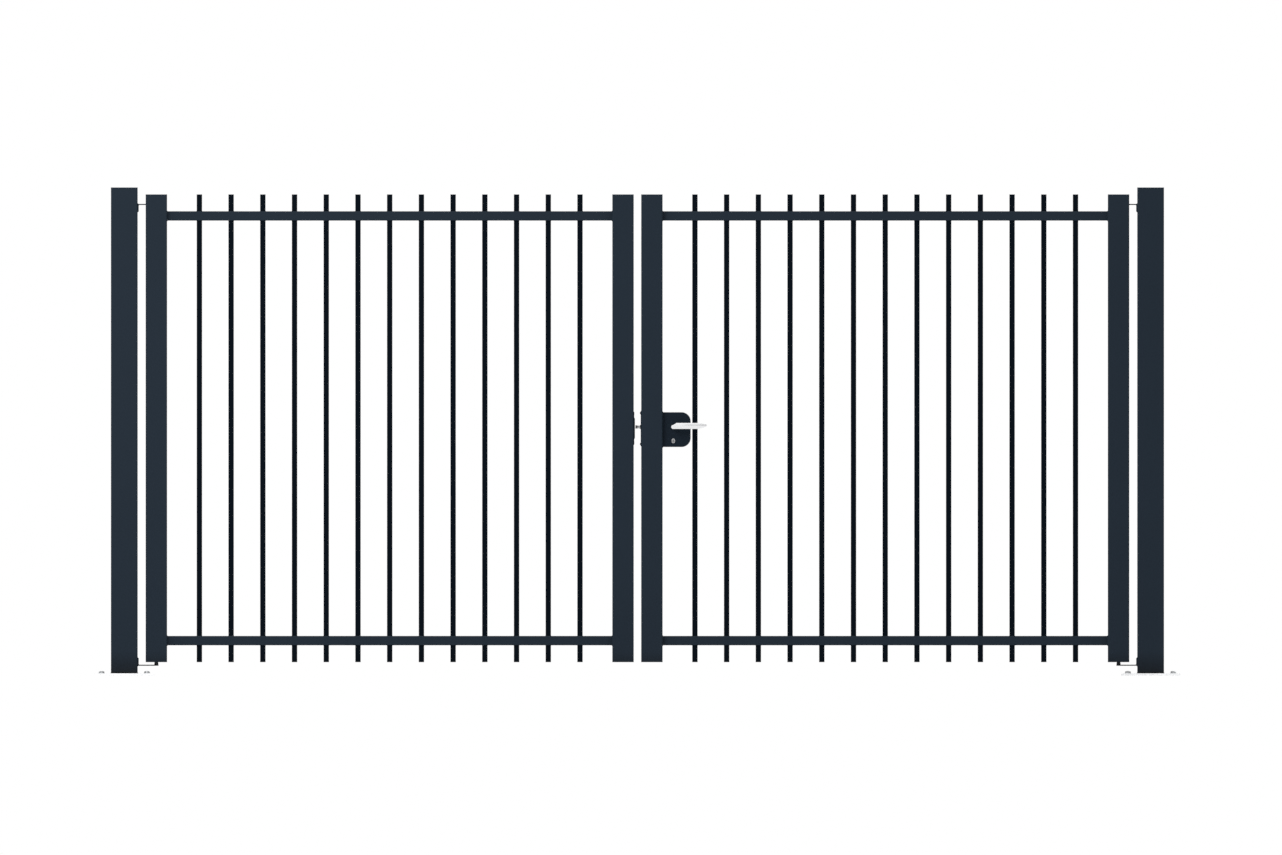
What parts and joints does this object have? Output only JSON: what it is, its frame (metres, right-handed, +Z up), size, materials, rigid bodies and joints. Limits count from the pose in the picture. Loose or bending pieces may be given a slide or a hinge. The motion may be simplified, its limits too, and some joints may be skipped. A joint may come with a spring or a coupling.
{
  "type": "double-leaf tubular steel driveway gate",
  "caption": "Double-leaf driveway gate of square steel tube: upright bars through two rails, pivot hinges on two posts with base plates, lever lock.",
  "frame": {"origin": "middle of the underside of the left post's base plate, at ground level", "axes": "+X along the gate to the right post, +Y to the side that both leaves open to, +Z up"},
  "size_m": [4.06, 0.22, 1.826],
  "materials": {
    "dark_coat": "matt anthracite powder coat, fine texture",
    "lock_coat": "matt dark powder coat",
    "lever_metal": "satin anodised",
    "bright_steel": "bright zinc plated",
    "oiled_steel": "dark oiled steel",
    "galvanised_steel": "hot-dip galvanised, pale",
    "bar_plug": "matt black plastic"
  },
  "bodies": {
    "posts": {"left_base_plate": "galvanised_steel", "left_post": "dark_coat", "left_post_cap": "dark_coat", "left_lower_bracket": "dark_coat", "left_upper_bracket": "dark_coat", "left_pivots": "oiled_steel", "right_base_plate": "galvanised_steel", "right_post": "dark_coat", "right_post_cap": "dark_coat", "right_lower_bracket": "dark_coat", "right_upper_bracket": "dark_coat", "right_pivots": "oiled_steel"},
    "left_leaf": {"left_hinge_stile": "dark_coat", "left_meeting_stile": "dark_coat", "left_end_plates": "dark_coat", "left_bearings": "dark_coat", "left_lower_rail": "dark_coat", "left_upper_rail": "dark_coat", "left_bars": "dark_coat", "left_bar_plugs": "bar_plug", "keep": "dark_coat"},
    "right_leaf": {"right_hinge_stile": "dark_coat", "right_meeting_stile": "dark_coat", "right_end_plates": "dark_coat", "right_bearings": "dark_coat", "right_lower_rail": "dark_coat", "right_upper_rail": "dark_coat", "right_bars": "dark_coat", "right_bar_plugs": "bar_plug", "lock_case": "lock_coat", "key_cylinder": "bright_steel", "forend": "dark_coat"},
    "lever_pair": {"front_lever": "lever_metal", "back_lever": "lever_metal", "spindle": "bright_steel"},
    "latch": {"latch": "bright_steel"}
  },
  "joints": [
    {"name": "left_leaf_swing", "type": "hinge", "parent": "posts", "child": "left_leaf", "pos_m": [0.12, 0, 0.05], "axis": [0, 0, 1], "range_deg": [0, 90]},
    {"name": "right_leaf_swing", "type": "hinge", "parent": "posts", "child": "right_leaf", "pos_m": [3.72, 0, 0.05], "axis": [0, 0, -1], "range_deg": [0, 90]},
    {"name": "lever_turn", "type": "hinge", "parent": "right_leaf", "child": "lever_pair", "pos_m": [2.054, 0, 0.93], "axis": [0, 1, 0], "range_deg": [0, 40], "stiffness_Nm_per_rad": 1.5, "springref_deg": -28.65},
    {"name": "latch_slide", "type": "slide", "parent": "right_leaf", "child": "latch", "axis": [1, 0, 0], "range_m": [0, 0.015]}
  ],
  "couplings": [
    {"joint": "latch_slide", "follows": "lever_turn", "m_per_rad": 0.0214}
  ]
}
